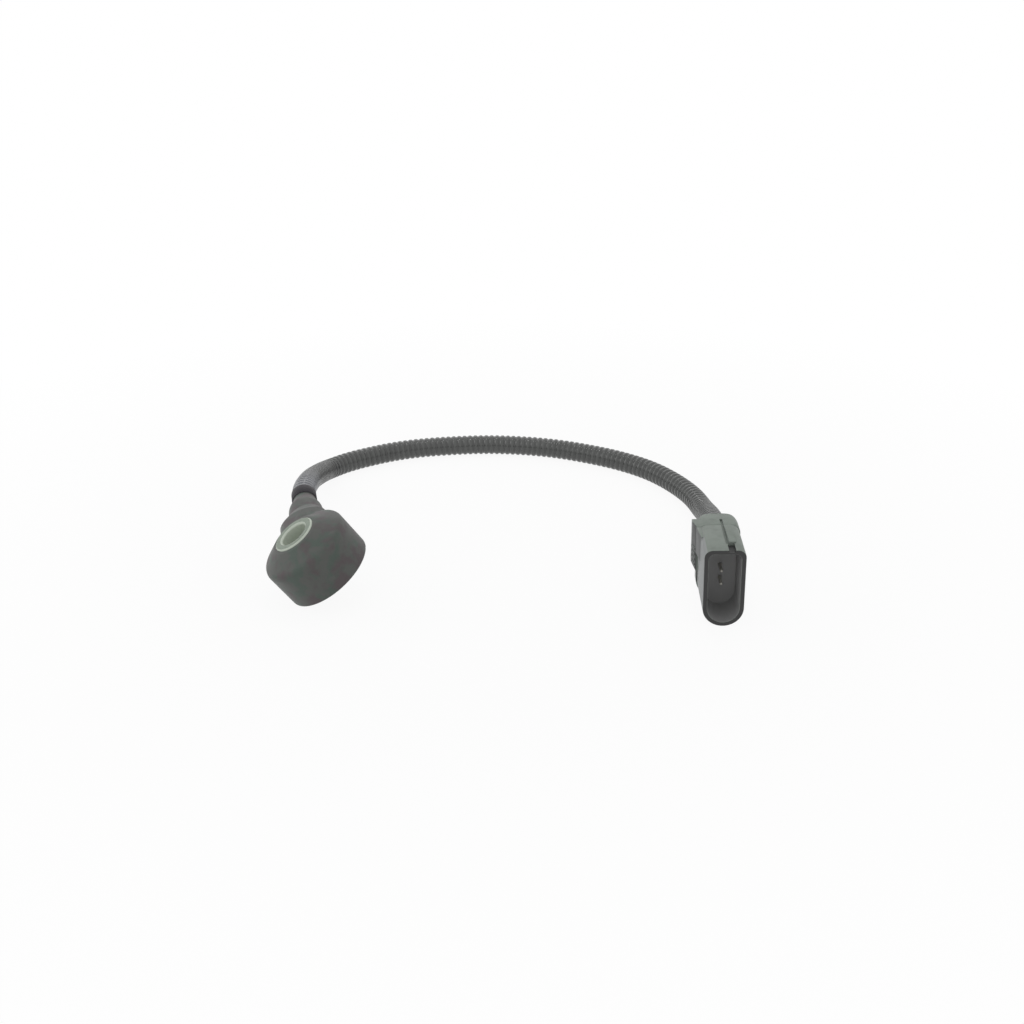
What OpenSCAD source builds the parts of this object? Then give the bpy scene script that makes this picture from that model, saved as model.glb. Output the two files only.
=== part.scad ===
// Knock sensor: a round moulded head with a bolt bore, a corrugated conduit and a two-pin connector.
// The origin is the centre of the bolt bore on the seat. +Z is up and +Y runs along the neck.
// The head leans on its lower rim and the connector stands on its rounded bottom.

/* [Head placement] */
// Sideways lean of the bolt bore, degrees
head_tilt = 33.7; // [25:0.1:40]
// Rise of the neck above level, degrees
head_lift = 3.7; // [0:0.1:8]

/* [Pressure sleeve] */
// Diameter of the bolt bore
bore_d = 8.4; // [8:0.1:9]
// Wall of the stem, whose end is the bright ring
stem_wall = 2.5; // [2.1:0.1:2.8]
// Height of the sleeve from the seat to the bolt face
sleeve_h = 18; // [17.5:0.1:19]
// Reach of the flange beyond the stem
flange_w = 4.3; // [3.8:0.1:4.6]
// Thickness of the flange
flange_t = 3; // [2.4:0.1:3.2]
// Chamfer on the two edges of the bright ring
sleeve_chamfer = 0.7; // [0.3:0.1:0.9]

/* [Sensing stack] */
// Width of the stacked rings, from bore to outside
ring_w = 2.7; // [2.3:0.1:2.9]
// Thickness of an insulating washer
insulator_t = 0.3; // [0.2:0.05:0.4]
// Thickness of a contact disc
contact_t = 0.4; // [0.3:0.05:0.5]
// Thickness of the piezo ceramic ring
piezo_t = 3; // [2.6:0.1:3.2]
// Thickness of the seismic mass
mass_t = 4.4; // [3.8:0.1:4.6]
// Thickness of the disc spring's plate
spring_t = 0.6; // [0.5:0.05:0.7]
// Dishing of the disc spring
spring_cone = 0.4; // [0.3:0.05:0.5]
// Width of the clamp nut, from bore to outside
nut_w = 2.25; // [1.9:0.05:2.6]
// Height of the clamp nut
nut_t = 2.4; // [2:0.1:2.6]
// Wall of the insulating tube round the stem
tube_wall = 0.5; // [0.4:0.05:0.6]

/* [Sensor housing] */
// Wall of the moulded housing beyond the flange
housing_wall = 3; // [2.5:0.1:3.6]
// Height of the housing's bottom edge above the seat
housing_bottom = 0.8; // [0.5:0.1:1.2]
// Height at which the wall and the cone would meet
rim_h = 13.6; // [13:0.1:14]
// Height of the flat land round the stem
land_h = 17.5; // [17.2:0.1:17.7]
// Width of the flat land round the stem
land_w = 0.7; // [0.6:0.1:1.2]
// Rounding of the rim between the wall and the cone
rim_round = 2.2; // [1:0.1:2.6]
// Chamfer on the bottom edge of the housing
edge_break = 0.3; // [0.2:0.1:0.6]

/* [Neck] */
// Height of the neck's centre line above the seat
neck_h = 9.3; // [9:0.1:9.6]
// Width of the square root of the neck
root_w = 15; // [14:0.1:16]
// Corner radius of the square root
root_corner = 4.6; // [3:0.1:6]
// Distance from the bore to the end of the moulded neck
neck_len = 33.4; // [32:0.1:35]
// Distance from the bore to where the square root rounds off
root_len = 21.6; // [20.6:0.1:22]
// Length of the shoulder between the root and the round neck
shoulder_len = 3.2; // [2.4:0.1:3.8]
// Diameter of the round neck at the shoulder
neck_start_d = 11; // [10:0.1:12]
// Diameter of the neck at its end
neck_end_d = 7.7; // [7.4:0.1:8.2]
// Length of the dark sleeve over the conduit's end
band_len = 6; // [5:0.1:7.5]
// Wall of the dark sleeve
band_wall = 0.25; // [0.2:0.05:0.4]
// Length of the spigot inside the conduit's end
spigot_len = 5; // [4:0.5:6]
// Wall of the spigot
spigot_wall = 0.5; // [0.4:0.05:0.55]

/* [Conduit and wires] */
// Outside diameter of the conduit
conduit_d = 7.5; // [7.3:0.1:7.7]
// Wall of the conduit, corrugations included
conduit_wall = 1; // [0.8:0.05:1.1]
// Outside diameter of one wire
wire_d = 1.7; // [1.4:0.05:1.8]
// Gap between the two wires
wire_gap = 0.2; // [0.1:0.05:0.3]

/* [Connector] */
// Width of the connector
plug_w = 11.8; // [11:0.1:12.5]
// Height of the connector
plug_h = 24.6; // [23.6:0.1:26]
// Length of the moulded shroud and body
plug_len = 16.7; // [16.2:0.1:18]
// Wall of the shroud
shroud_wall = 1.3; // [1:0.1:1.5]
// Depth of the opening
socket_depth = 11.2; // [10:0.1:11.6]
// Radius of the two top corners
plug_corner = 2.4; // [1.8:0.1:3]
// Height of the two pins' mid-point
pin_mid_h = 12.3; // [11.8:0.1:12.8]
// Distance between the two pins
pin_pitch = 4.2; // [3.8:0.1:4.4]
// Diameter of one pin
pin_d = 1; // [0.8:0.1:1.2]
// Distance from the front face to the pin tips
pin_setback = 6.6; // [5:0.1:8]
// Turn of the connector from the neck's direction, degrees
plug_turn = 17.7; // [14:0.1:22]
// Roll of the connector on its rounded bottom, degrees
plug_roll = 2.75; // [0:0.05:6]
// Width of the groove along the top
groove_w = 0.8; // [0.4:0.1:1]
// Depth of the groove along the top
groove_t = 0.6; // [0.3:0.1:0.8]
// Width of the latch ramp and of the recess before it
ramp_w = 2; // [1.2:0.1:2]
// Rise of the latch ramp above the top
ramp_rise = 0.5; // [0.3:0.1:0.8]
// Length of the recess before the ramp
recess_len = 4.6; // [3:0.1:6]

/* [Rear cover] */
// Length of the cover behind the body
cover_len = 7.9; // [7:0.1:9]
// How far the cover stands out beyond the body's sides
cover_over = 0.4; // [0.2:0.1:0.6]
// Radius of the cover's rear corners, seen from above
cover_corner = 4.6; // [3:0.1:5.2]
// Height of the conduit's centre in the cover
entry_h = 12.3; // [11.8:0.1:12.8]
// Outside diameter of the entry collar
collar_d = 10.4; // [9.9:0.1:10.8]
// Length of the entry collar
collar_len = 5; // [4:0.1:7]
// Reach of the side wing beyond the body
wing_w = 1.6; // [1.2:0.1:2.4]
// Height of the wing's lower end
wing_low = 10.4; // [9:0.1:12]
// Height of the wing's upper end
wing_high = 24; // [20:0.1:24.2]
// Length of the rib that rises along the body to the wing
rib_len = 6.7; // [4:0.1:9]
// Height of the rib's lower end
rib_low = 15.6; // [12:0.1:18]
// Depth of the wing's grip ridges
ridge_t = 0.45; // [0.3:0.05:0.6]
// Spacing of the grip ridges
ridge_pitch = 1.7; // [1.4:0.1:2.4]

/* [Hidden] */
$fn = 64;

// Clearances
mould_gap = 0.05;
slide_gap = 0.1;
cut = 1;

// Diameters round the bolt bore
stem_d = bore_d + 2 * stem_wall;
flange_d = stem_d + 2 * flange_w;
housing_d = flange_d + 2 * housing_wall;
land_d = stem_d + 2 * land_w;
tube_d = stem_d + 2 * (mould_gap + tube_wall);
stack_bore = tube_d + 2 * mould_gap;
stack_d = stack_bore + 2 * ring_w;
nut_bore = stem_d + 2 * mould_gap;
nut_d = nut_bore + 2 * nut_w;

// Levels of the stack above the seat
lower_insulator_z = flange_t;
lower_contact_z = lower_insulator_z + insulator_t;
piezo_z = lower_contact_z + contact_t;
upper_contact_z = piezo_z + piezo_t;
upper_insulator_z = upper_contact_z + contact_t;
mass_z = upper_insulator_z + insulator_t;
spring_z = mass_z + mass_t;
nut_z = spring_z + spring_cone + spring_t;
stack_top = nut_z + nut_t;

// Neck and its passage
root_h = 2 * (land_h - neck_h);
wire_pitch = wire_d + wire_gap;
passage_d = wire_pitch + wire_d + 2 * slide_gap;
spigot_d = passage_d + 2 * spigot_wall;
conduit_bore = conduit_d - 2 * conduit_wall;
band_bore = conduit_d + 2 * mould_gap;
band_d = band_bore + 2 * band_wall;
conduit_start = neck_len + mould_gap;
tab_w = wire_pitch - 2 * wire_gap;
tab_level = neck_h - wire_d / 2;
tab_run = 7;
tab_bare = 2;
tab_rise_y = stack_d / 2 + 1.2;
tab_end_y = tab_rise_y + tab_run;
wire_start = tab_rise_y + tab_bare;
tab_corner = norm([wire_pitch / 2 + tab_w / 2, wire_d / 2 + contact_t]);
pocket_d = 2 * (tab_corner + mould_gap);

// Outline of the neck: the root's reach from the neck's centre line, then the shoulder
root_fade = 11.6;
root_reach = norm([root_w, root_h]) / 2 - 1.5;
root_round_y = root_len - root_fade;
root_end_r = neck_start_d / 2 + 0.5;
shoulder_mid_r = (root_end_r + neck_start_d / 2) / 2 + 0.1;
taper_y = root_len + shoulder_len;
taper_len = neck_len - taper_y - 0.8;

// Floor below the seat: the lowest point of the housing's bottom edge
rim_r = housing_d / 2 - edge_break;
rim_drop = norm([sin(head_tilt) * cos(head_lift), sin(head_lift)]);
floor_z = housing_bottom * cos(head_tilt) * cos(head_lift) - rim_r * rim_drop;

// Connector
plug_front = [108.3, -46.4];
plug_r = plug_w / 2;
terminal_box = 2.4;
terminal_len = 3.6;
box_start = socket_depth + 0.6;
crimp_start = box_start + terminal_len;
crimp_wall = 0.3;
crimp_end = plug_len + 0.2;
seal_start = plug_len + 0.3;
seal_len = 2.8;
seal_d = 3.5;
seal_root_d = 3.1;
seal_pitch = 1.1;
seal_rib = 0.6;
body_step = 1.6;
body_rear = seal_start + seal_len + 0.3;
cover_rear = plug_len + cover_len;
wing_y = plug_len + 3.3;
conduit_end = cover_rear - 0.6;
bend_end = cover_rear + collar_len + 1.5;
fan_offset = conduit_bore / 2 - wire_d / 2 - 0.15;
lock_t = 1.3;
lock_len = 2.4;
lock_tip = 1.2;
lock_y = box_start + 0.8;
groove_x = 0.5;
groove_y = [4.2, 20.6];
ramp_x = groove_x + groove_w + 0.1;
recess_x = groove_x + groove_w / 2;
recess_t = 0.8;

// Conduit's centre line between the neck and the cover: x, y and height above the floor
cord_route = [
    [-4.4, 45, 16.5],
    [-3.4, 51.5, 15.1],
    [-2.4, 58, 13.4],
    [-1.2, 65.5, 11.2],
    [0.7, 73, 9.1],
    [2.7, 80, 7.1],
    [6, 89.5, 4.3],
    [14, 96, 3.9],
    [23, 100, 3.8],
    [32.5, 103, 3.8],
    [43.5, 104.5, 3.8],
    [57.5, 104, 3.8],
    [71, 102, 3.8],
    [84.5, 97.5, 3.8],
    [97, 91, 3.8],
    [108, 82.5, 3.8],
    [118, 72.5, 3.8],
    [126, 60.5, 3.8],
    [130.5, 47.5, 3.8],
    [132.5, 34, 3.8],
    [131, 20.5, 4.7],
    [127.5, 7.5, 8.2],
    [123, -6, 11.2]];

// Points of the head and of the connector in the part's own frame
function turn_x(p, a) = [p[0], p[1] * cos(a) - p[2] * sin(a), p[1] * sin(a) + p[2] * cos(a)];
function turn_y(p, a) = [p[0] * cos(a) + p[2] * sin(a), p[1], p[2] * cos(a) - p[0] * sin(a)];
function turn_z(p, a) = [p[0] * cos(a) - p[1] * sin(a), p[0] * sin(a) + p[1] * cos(a), p[2]];
function head_point(p) = turn_x(turn_y(p, -head_tilt), head_lift);
function rolled(p) = turn_y(p - [0, 0, plug_r], -plug_roll) + [0, 0, plug_r];
function plug_point(p) = turn_z(rolled(p), -plug_turn) + [plug_front[0], plug_front[1], floor_z];
function neck_point(y) = head_point([0, y, neck_h]);
function entry_point(y) = plug_point([0, y, entry_h]);

function lifted(route) = [for (p = route) [p[0], p[1], p[2] + floor_z]];
function reversed(list) = [for (i = [len(list) - 1 : -1 : 0]) list[i]];

conduit_path = concat([neck_point(conduit_start), neck_point(neck_len + band_len)],
                      lifted(cord_route), [entry_point(bend_end),
                      entry_point(conduit_end)]);

// Frame of a swept ring: tangent, sideways and upward directions
function unit(v) = v / norm(v);
function tangent(path, i) = unit(path[min(i + 1, len(path) - 1)] - path[max(i - 1, 0)]);
function sideways(t) = unit(cross(t, [0, 0, 1]));
function ring(centre, t, r, sides, start) =
    let (u = sideways(t), v = cross(u, t))
    [for (k = [0 : sides - 1]) let (a = start + 360 * k / sides) centre + r * (cos(a) * u + sin(a) * v)];
function rings(path, r, sides) =
    [for (i = [0 : len(path) - 1]) each ring(path[i], tangent(path, i), r, sides, 90)];

// Side faces of a sweep whose first point is number first, turned inwards where inside is true
function side_faces(count, sides, first, inside) =
    [for (i = [0 : count - 2], k = [0 : sides - 1])
        let (a = first + i * sides + k, b = first + i * sides + (k + 1) % sides,
             c = b + sides, d = a + sides)
        each inside ? [[a, c, b], [a, d, c]] : [[a, b, c], [a, c, d]]];
function end_ring(sides, outer, inner, back) =
    [for (k = [0 : sides - 1])
        let (n = (k + 1) % sides, face = [outer + k, outer + n, inner + n, inner + k])
        back ? reversed(face) : face];

// A bent tube with a wall
module swept_tube(path, r_out, r_in, sides) {
    count = len(path);
    inner = count * sides;
    last = (count - 1) * sides;
    polyhedron(points = concat(rings(path, r_out, sides), rings(path, r_in, sides)),
               faces = concat(side_faces(count, sides, 0, false),
                              side_faces(count, sides, inner, true),
                              end_ring(sides, 0, inner, true),
                              end_ring(sides, last, inner + last, false)));
}

// A bent solid rod
module swept_rod(path, r, sides) {
    count = len(path);
    last = (count - 1) * sides;
    polyhedron(points = rings(path, r, sides),
               faces = concat(side_faces(count, sides, 0, false),
                              [reversed([for (k = [0 : sides - 1]) k])],
                              [[for (k = [0 : sides - 1]) last + k]]));
}

// Places a piece of the head or of the connector
module in_head() {
    rotate([head_lift, 0, 0]) rotate([0, -head_tilt, 0]) children();
}
module in_plug() {
    translate([plug_front[0], plug_front[1], floor_z]) rotate([0, 0, -plug_turn])
        translate([0, 0, plug_r]) rotate([0, -plug_roll, 0]) translate([0, 0, -plug_r]) children();
}

// Lays an upright profile along the neck or the connector, from y = a to y = b
module along_y(a, b) {
    translate([0, b, 0]) rotate([90, 0, 0]) linear_extrude(b - a) children();
}
module rod_y(a, b, d) {
    translate([0, a, 0]) rotate([-90, 0, 0]) cylinder(h = b - a, d = d);
}
module washer(z, t, d, bore) {
    translate([0, 0, z]) difference() {
        cylinder(h = t, d = d);
        translate([0, 0, -cut]) cylinder(h = t + 2 * cut, d = bore);
    }
}

// Rounded square profile, centred
module square_profile(w, h, r) {
    square([w, h - 2 * r], center = true);
    square([w - 2 * r, h], center = true);
    for (x = [-1, 1], y = [-1, 1]) translate([x * (w / 2 - r), y * (h / 2 - r)]) circle(r);
}

// Upright profile of the connector: full round below, two rounded corners above
module plug_profile(w, h, corner, low) {
    translate([0, low + w / 2]) circle(d = w);
    translate([-w / 2, low + w / 2]) square([w, h - low - w / 2 - corner]);
    translate([corner - w / 2, low + w / 2]) square([w - 2 * corner, h - low - w / 2]);
    for (x = [-1, 1]) translate([x * (w / 2 - corner), h - corner]) circle(corner);
}

// Points of an arc from angle a to angle b
function arc(centre, r, a, b, steps) =
    [for (i = [0 : steps]) let (t = a + (b - a) * i / steps) centre + r * [cos(t), sin(t)]];

// Revolved shape of the housing's round body
module body_shape() {
    r = housing_d / 2;
    slope = atan2(land_h - rim_h, r - land_d / 2);
    facing = 90 - slope;
    centre_h = rim_h - rim_round * (1 - cos(facing)) / sin(facing);
    rotate_extrude() polygon(concat(
        [[0, housing_bottom], [r - edge_break, housing_bottom], [r, housing_bottom + edge_break]],
        arc([r - rim_round, centre_h], rim_round, 0, facing, 8),
        [[land_d / 2, land_h], [0, land_h]]));
}

// Square root of the neck, turned down round its far end
module root_shape() {
    far_y = root_len + shoulder_len;
    intersection() {
        along_y(0, far_y) translate([0, neck_h]) square_profile(root_w, root_h, root_corner);
        translate([0, 0, neck_h]) rotate([-90, 0, 0]) rotate_extrude()
            polygon([[0, 0], [root_reach, 0], [root_reach, root_round_y], [root_end_r, root_len],
                     [shoulder_mid_r, root_len + shoulder_len / 2], [neck_start_d / 2, far_y], [0, far_y]]);
    }
}

// Round neck beyond the root, which eases down to its end, and the spigot inside the conduit
module neck_shape() {
    steps = 8;
    start_r = neck_start_d / 2;
    end_r = neck_end_d / 2;
    eased = [for (i = [0 : steps]) [end_r + (start_r - end_r) * (1 + cos(180 * i / steps)) / 2,
                                    taper_y + taper_len * i / steps]];
    translate([0, 0, neck_h]) rotate([-90, 0, 0]) rotate_extrude()
        polygon(concat([[0, root_len - cut], [start_r, root_len - cut]], eased,
                       [[end_r, neck_len], [0, neck_len]]));
    translate([0, 0, neck_h]) rod_y(neck_len - cut, neck_len + spigot_len, spigot_d);
}

// Space that the flange, the stack and the contact tabs fill
module stack_space() {
    cylinder(h = flange_t + mould_gap, d = flange_d + 2 * mould_gap);
    cylinder(h = stack_top + mould_gap, d = stack_d + 2 * mould_gap);
    cylinder(h = sleeve_h + cut, d = nut_bore);
    translate([-wire_pitch / 2 - tab_w / 2 - mould_gap, 0, lower_contact_z])
        cube([wire_pitch + tab_w + 2 * mould_gap, tab_rise_y + contact_t + mould_gap,
              neck_h - lower_contact_z]);
    translate([0, 0, neck_h]) {
        rod_y(stack_d / 2 - cut, tab_end_y + mould_gap, pocket_d);
        rod_y(tab_end_y, neck_len + spigot_len + cut, passage_d);
    }
}

module sensor_housing() {
    color([0.33, 0.34, 0.34]) in_head() difference() {
        union() {
            body_shape();
            root_shape();
            neck_shape();
        }
        stack_space();
    }
}

module pressure_sleeve() {
    c = sleeve_chamfer;
    color([0.68, 0.7, 0.66]) in_head() rotate_extrude() polygon([
        [bore_d / 2, 0], [flange_d / 2 - c / 2, 0], [flange_d / 2, c / 2],
        [flange_d / 2, flange_t], [stem_d / 2, flange_t], [stem_d / 2, sleeve_h - c],
        [stem_d / 2 - c, sleeve_h], [bore_d / 2 + c, sleeve_h], [bore_d / 2, sleeve_h - c]]);
}

module lower_insulator() {
    color([0.85, 0.8, 0.6]) in_head() washer(lower_insulator_z, insulator_t, stack_d, stack_bore);
}
module upper_insulator() {
    color([0.85, 0.8, 0.6]) in_head() washer(upper_insulator_z, insulator_t, stack_d, stack_bore);
}

// Contact disc with a bent tab that runs out to its wire on the side given
module contact(z, side) {
    x = side * wire_pitch / 2 - tab_w / 2;
    washer(z, contact_t, stack_d, stack_bore);
    translate([x, stack_d / 2 - 1, z]) cube([tab_w, tab_rise_y - stack_d / 2 + 1, contact_t]);
    translate([x, tab_rise_y - contact_t, z]) cube([tab_w, contact_t, tab_level - z]);
    translate([x, tab_rise_y - contact_t, tab_level - contact_t])
        cube([tab_w, tab_end_y - tab_rise_y + contact_t, contact_t]);
}
module lower_contact() {
    color([0.8, 0.65, 0.3]) in_head() contact(lower_contact_z, -1);
}
module upper_contact() {
    color([0.8, 0.65, 0.3]) in_head() contact(upper_contact_z, 1);
}

module piezo_ring() {
    color([0.88, 0.86, 0.78]) in_head() washer(piezo_z, piezo_t, stack_d, stack_bore);
}

module insulating_tube() {
    color([0.9, 0.9, 0.85]) in_head() washer(flange_t, spring_z - flange_t, tube_d, nut_bore);
}

module seismic_mass() {
    color([0.5, 0.48, 0.45]) in_head() washer(mass_z, mass_t, stack_d, stack_bore);
}

module disc_spring() {
    outer = stack_d / 2 - 0.4;
    inner = stack_bore / 2;
    color([0.6, 0.62, 0.65]) in_head() translate([0, 0, spring_z]) rotate_extrude()
        polygon([[outer, 0], [outer, spring_t], [inner, spring_t + spring_cone], [inner, spring_cone]]);
}

module clamp_nut() {
    slot_w = 2.4;
    slot_in = 1.4;
    color([0.6, 0.6, 0.58]) in_head() difference() {
        washer(nut_z, nut_t, nut_d, nut_bore);
        for (a = [0 : 90 : 270]) rotate([0, 0, a])
            translate([nut_d / 2 - slot_in, -slot_w / 2, nut_z + nut_t / 2]) cube([nut_d, slot_w, nut_t]);
    }
}

module neck_sleeve() {
    color([0.27, 0.26, 0.27]) in_head() translate([0, 0, neck_h]) difference() {
        rod_y(neck_len, neck_len + band_len, band_d);
        rod_y(neck_len - cut, neck_len + band_len + cut, band_bore);
    }
}

module conduit() {
    color([0.33, 0.33, 0.33]) swept_tube(conduit_path, conduit_d / 2, conduit_bore / 2, 12);
}

// Path of one wire: beside its twin in the neck, above or below it in the connector
function twist(i, count) = head_tilt + (90 - head_tilt) * i / (count - 1);
function beside(path, i, side) =
    let (t = tangent(path, i), u = sideways(t), v = cross(u, t), a = twist(i, len(path)))
    path[i] + side * wire_pitch / 2 * (cos(a) * u + sin(a) * v);
function wire_path(side) = concat(
    [head_point([side * wire_pitch / 2, wire_start, neck_h]),
     head_point([side * wire_pitch / 2, conduit_start, neck_h])],
    [for (i = [1 : len(conduit_path) - 2]) beside(conduit_path, i, side)],
    [plug_point([0, conduit_end, entry_h + side * fan_offset]),
     plug_point([0, body_rear, pin_mid_h + side * pin_pitch / 2]),
     plug_point([0, crimp_start, pin_mid_h + side * pin_pitch / 2])]);

module signal_wire() {
    color([0.75, 0.75, 0.72]) swept_rod(wire_path(1), wire_d / 2, 8);
}
module ground_wire() {
    color([0.15, 0.15, 0.15]) swept_rod(wire_path(-1), wire_d / 2, 8);
}

// Both cavities of the connector, one above the other
module at_cavities() {
    for (s = [-1, 1]) translate([0, 0, pin_mid_h + s * pin_pitch / 2]) children();
}

// Groove and recess in the top, and the latch ramp between them
module top_cuts() {
    translate([groove_x, groove_y[0], plug_h - groove_t]) cube([groove_w, groove_y[1] - groove_y[0], cut]);
    translate([recess_x, -cut, plug_h - recess_t]) cube([ramp_w, recess_len + cut, cut]);
}
module latch_ramp() {
    translate([ramp_x, 0, 0]) rotate([90, 0, 90]) linear_extrude(ramp_w)
        polygon([[recess_len, plug_h - shroud_wall / 2], [recess_len, plug_h + ramp_rise],
                 [plug_len, plug_h], [plug_len, plug_h - shroud_wall / 2]]);
}

// Rib that rises along the body's side to the wing
module side_rib() {
    translate([0, 0, rib_low]) linear_extrude(wing_high - rib_low)
        polygon([[1 - plug_r, plug_len - rib_len], [-plug_r, plug_len - rib_len],
                 [-plug_r - wing_w / 2, plug_len], [1 - plug_r, plug_len]]);
}

module connector_housing() {
    color([0.38, 0.39, 0.38]) in_plug() difference() {
        union() {
            along_y(0, plug_len) plug_profile(plug_w, plug_h, plug_corner, 0);
            along_y(plug_len - cut, body_rear)
                plug_profile(plug_w - 2 * body_step, plug_h - body_step, plug_corner - body_step / 2,
                             body_step);
            latch_ramp();
            side_rib();
        }
        along_y(-cut, socket_depth) plug_profile(plug_w - 2 * shroud_wall, plug_h - shroud_wall,
                                                 plug_corner - shroud_wall / 2, shroud_wall);
        top_cuts();
        at_cavities() {
            rod_y(socket_depth - cut, box_start + cut, pin_d + 2 * mould_gap);
            rod_y(box_start, seal_start, terminal_box * sqrt(2) + 2 * mould_gap);
            rod_y(seal_start, body_rear + cut, seal_d + 2 * mould_gap);
        }
        translate([-cut, 0, pin_mid_h]) lock_shape(mould_gap);
        translate([0, 0, pin_mid_h]) lock_shape(mould_gap);
    }
}

// Slide that goes in from the side between the two terminals
module lock_shape(gap) {
    translate([-plug_r, lock_y - gap, -lock_t / 2 - gap])
        cube([plug_r + lock_tip + gap, lock_len + 2 * gap, lock_t + 2 * gap]);
}

module terminal_lock() {
    color([0.4, 0.42, 0.4]) in_plug() translate([0, 0, pin_mid_h]) lock_shape(0);
}

// One terminal: a pin with a round tip, a square body and a crimp round the wire's end
module terminal(side) {
    tip_y = pin_setback + pin_d / 2;
    translate([0, 0, pin_mid_h + side * pin_pitch / 2]) {
        rod_y(tip_y, box_start + terminal_len / 2, pin_d);
        translate([0, tip_y, 0]) sphere(d = pin_d);
        translate([-terminal_box / 2, box_start, -terminal_box / 2])
            cube([terminal_box, terminal_len, terminal_box]);
        difference() {
            rod_y(crimp_start, crimp_end, wire_d + 2 * crimp_wall);
            rod_y(crimp_start, crimp_end + cut, wire_d);
        }
    }
}
module terminal_upper() {
    color([0.75, 0.73, 0.66]) in_plug() terminal(1);
}
module terminal_lower() {
    color([0.75, 0.73, 0.66]) in_plug() terminal(-1);
}

// Soft seal round one wire, behind its terminal
module wire_seal(side) {
    translate([0, 0, pin_mid_h + side * pin_pitch / 2]) difference() {
        union() {
            rod_y(seal_start, seal_start + seal_len, seal_root_d);
            for (i = [0 : 2]) rod_y(seal_start + i * seal_pitch, seal_start + i * seal_pitch + seal_rib, seal_d);
        }
        rod_y(seal_start - cut, seal_start + seal_len + cut, wire_d);
    }
}
module seal_upper() {
    color([0.3, 0.45, 0.6]) in_plug() wire_seal(1);
}
module seal_lower() {
    color([0.3, 0.45, 0.6]) in_plug() wire_seal(-1);
}

// Room behind the seals in which the wires spread to their cavities
module fan_space() {
    high = max(pin_mid_h + pin_pitch / 2, entry_h + fan_offset) + wire_d / 2 + slide_gap;
    low = min(pin_mid_h - pin_pitch / 2, entry_h - fan_offset) - wire_d / 2 - slide_gap;
    translate([-seal_d / 2, body_rear - cut, low]) cube([seal_d, conduit_end - body_rear + 2 * cut, high - low]);
}

// Plan of the cover: square in front, rounded rear corners
module cover_plan() {
    w = plug_w + 2 * cover_over;
    front = plug_len + mould_gap;
    translate([-w / 2, front]) square([w, cover_rear - cover_corner - front]);
    translate([cover_corner - w / 2, front]) square([w - 2 * cover_corner, cover_rear - front]);
    for (x = [-1, 1]) translate([x * (w / 2 - cover_corner), cover_rear - cover_corner]) circle(cover_corner);
}

// Wing on the cover's side, with a slanting front that the grip ridges stand on
module side_wing() {
    front = plug_len + mould_gap;
    outer = -plug_r - wing_w;
    rear = cover_rear - cover_corner / 2;
    ridge_count = floor((wing_high - wing_low) / 2 / ridge_pitch);
    intersection() {
        translate([0, 0, wing_low - wing_w]) linear_extrude(wing_high - wing_low + wing_w)
            polygon([[1 - plug_r, front], [outer + wing_w / 2, front], [outer, wing_y], [outer, rear],
                     [1 - plug_r, rear]]);
        along_y(front - cut, rear + cut)
            polygon([[1 - plug_r, wing_low - wing_w], [-plug_r, wing_low - wing_w], [outer, wing_low],
                     [outer, wing_high], [1 - plug_r, wing_high]]);
    }
    for (i = [0 : ridge_count - 1])
        translate([outer, wing_y - ridge_t, wing_low + 0.5 + i * ridge_pitch])
            cube([wing_w / 2, ridge_t + 1, ridge_pitch / 2]);
}

module rear_cover() {
    color([0.5, 0.52, 0.5]) in_plug() difference() {
        union() {
            intersection() {
                along_y(plug_len, cover_rear)
                    plug_profile(plug_w + 2 * cover_over, plug_h, plug_corner + cover_over, 0);
                linear_extrude(plug_h) cover_plan();
            }
            translate([0, 0, entry_h]) rod_y(cover_rear - cover_corner, cover_rear + collar_len, collar_d);
            side_wing();
        }
        along_y(plug_len - cut, body_rear + slide_gap)
            plug_profile(plug_w - 2 * body_step + 2 * mould_gap, plug_h - body_step + mould_gap,
                         plug_corner - body_step / 2, body_step - mould_gap);
        top_cuts();
        fan_space();
        translate([0, 0, entry_h]) rod_y(conduit_end, cover_rear + collar_len + cut, conduit_d + 2 * slide_gap);
    }
}

sensor_housing();
pressure_sleeve();
lower_insulator();
lower_contact();
piezo_ring();
upper_contact();
upper_insulator();
insulating_tube();
seismic_mass();
disc_spring();
clamp_nut();
neck_sleeve();
conduit();
signal_wire();
ground_wire();
connector_housing();
rear_cover();
terminal_upper();
terminal_lower();
terminal_lock();
seal_upper();
seal_lower();
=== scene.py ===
"""Dresses a knock sensor: moulded head, steel sleeve, corrugated conduit and two-pin connector."""

import math

import bmesh
import bpy
from bpy.props import FloatProperty, FloatVectorProperty, IntProperty, PointerProperty
from bpy.types import Operator, Panel, PropertyGroup
from mathutils import Matrix, Vector
from mathutils.geometry import interpolate_bezier


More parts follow.
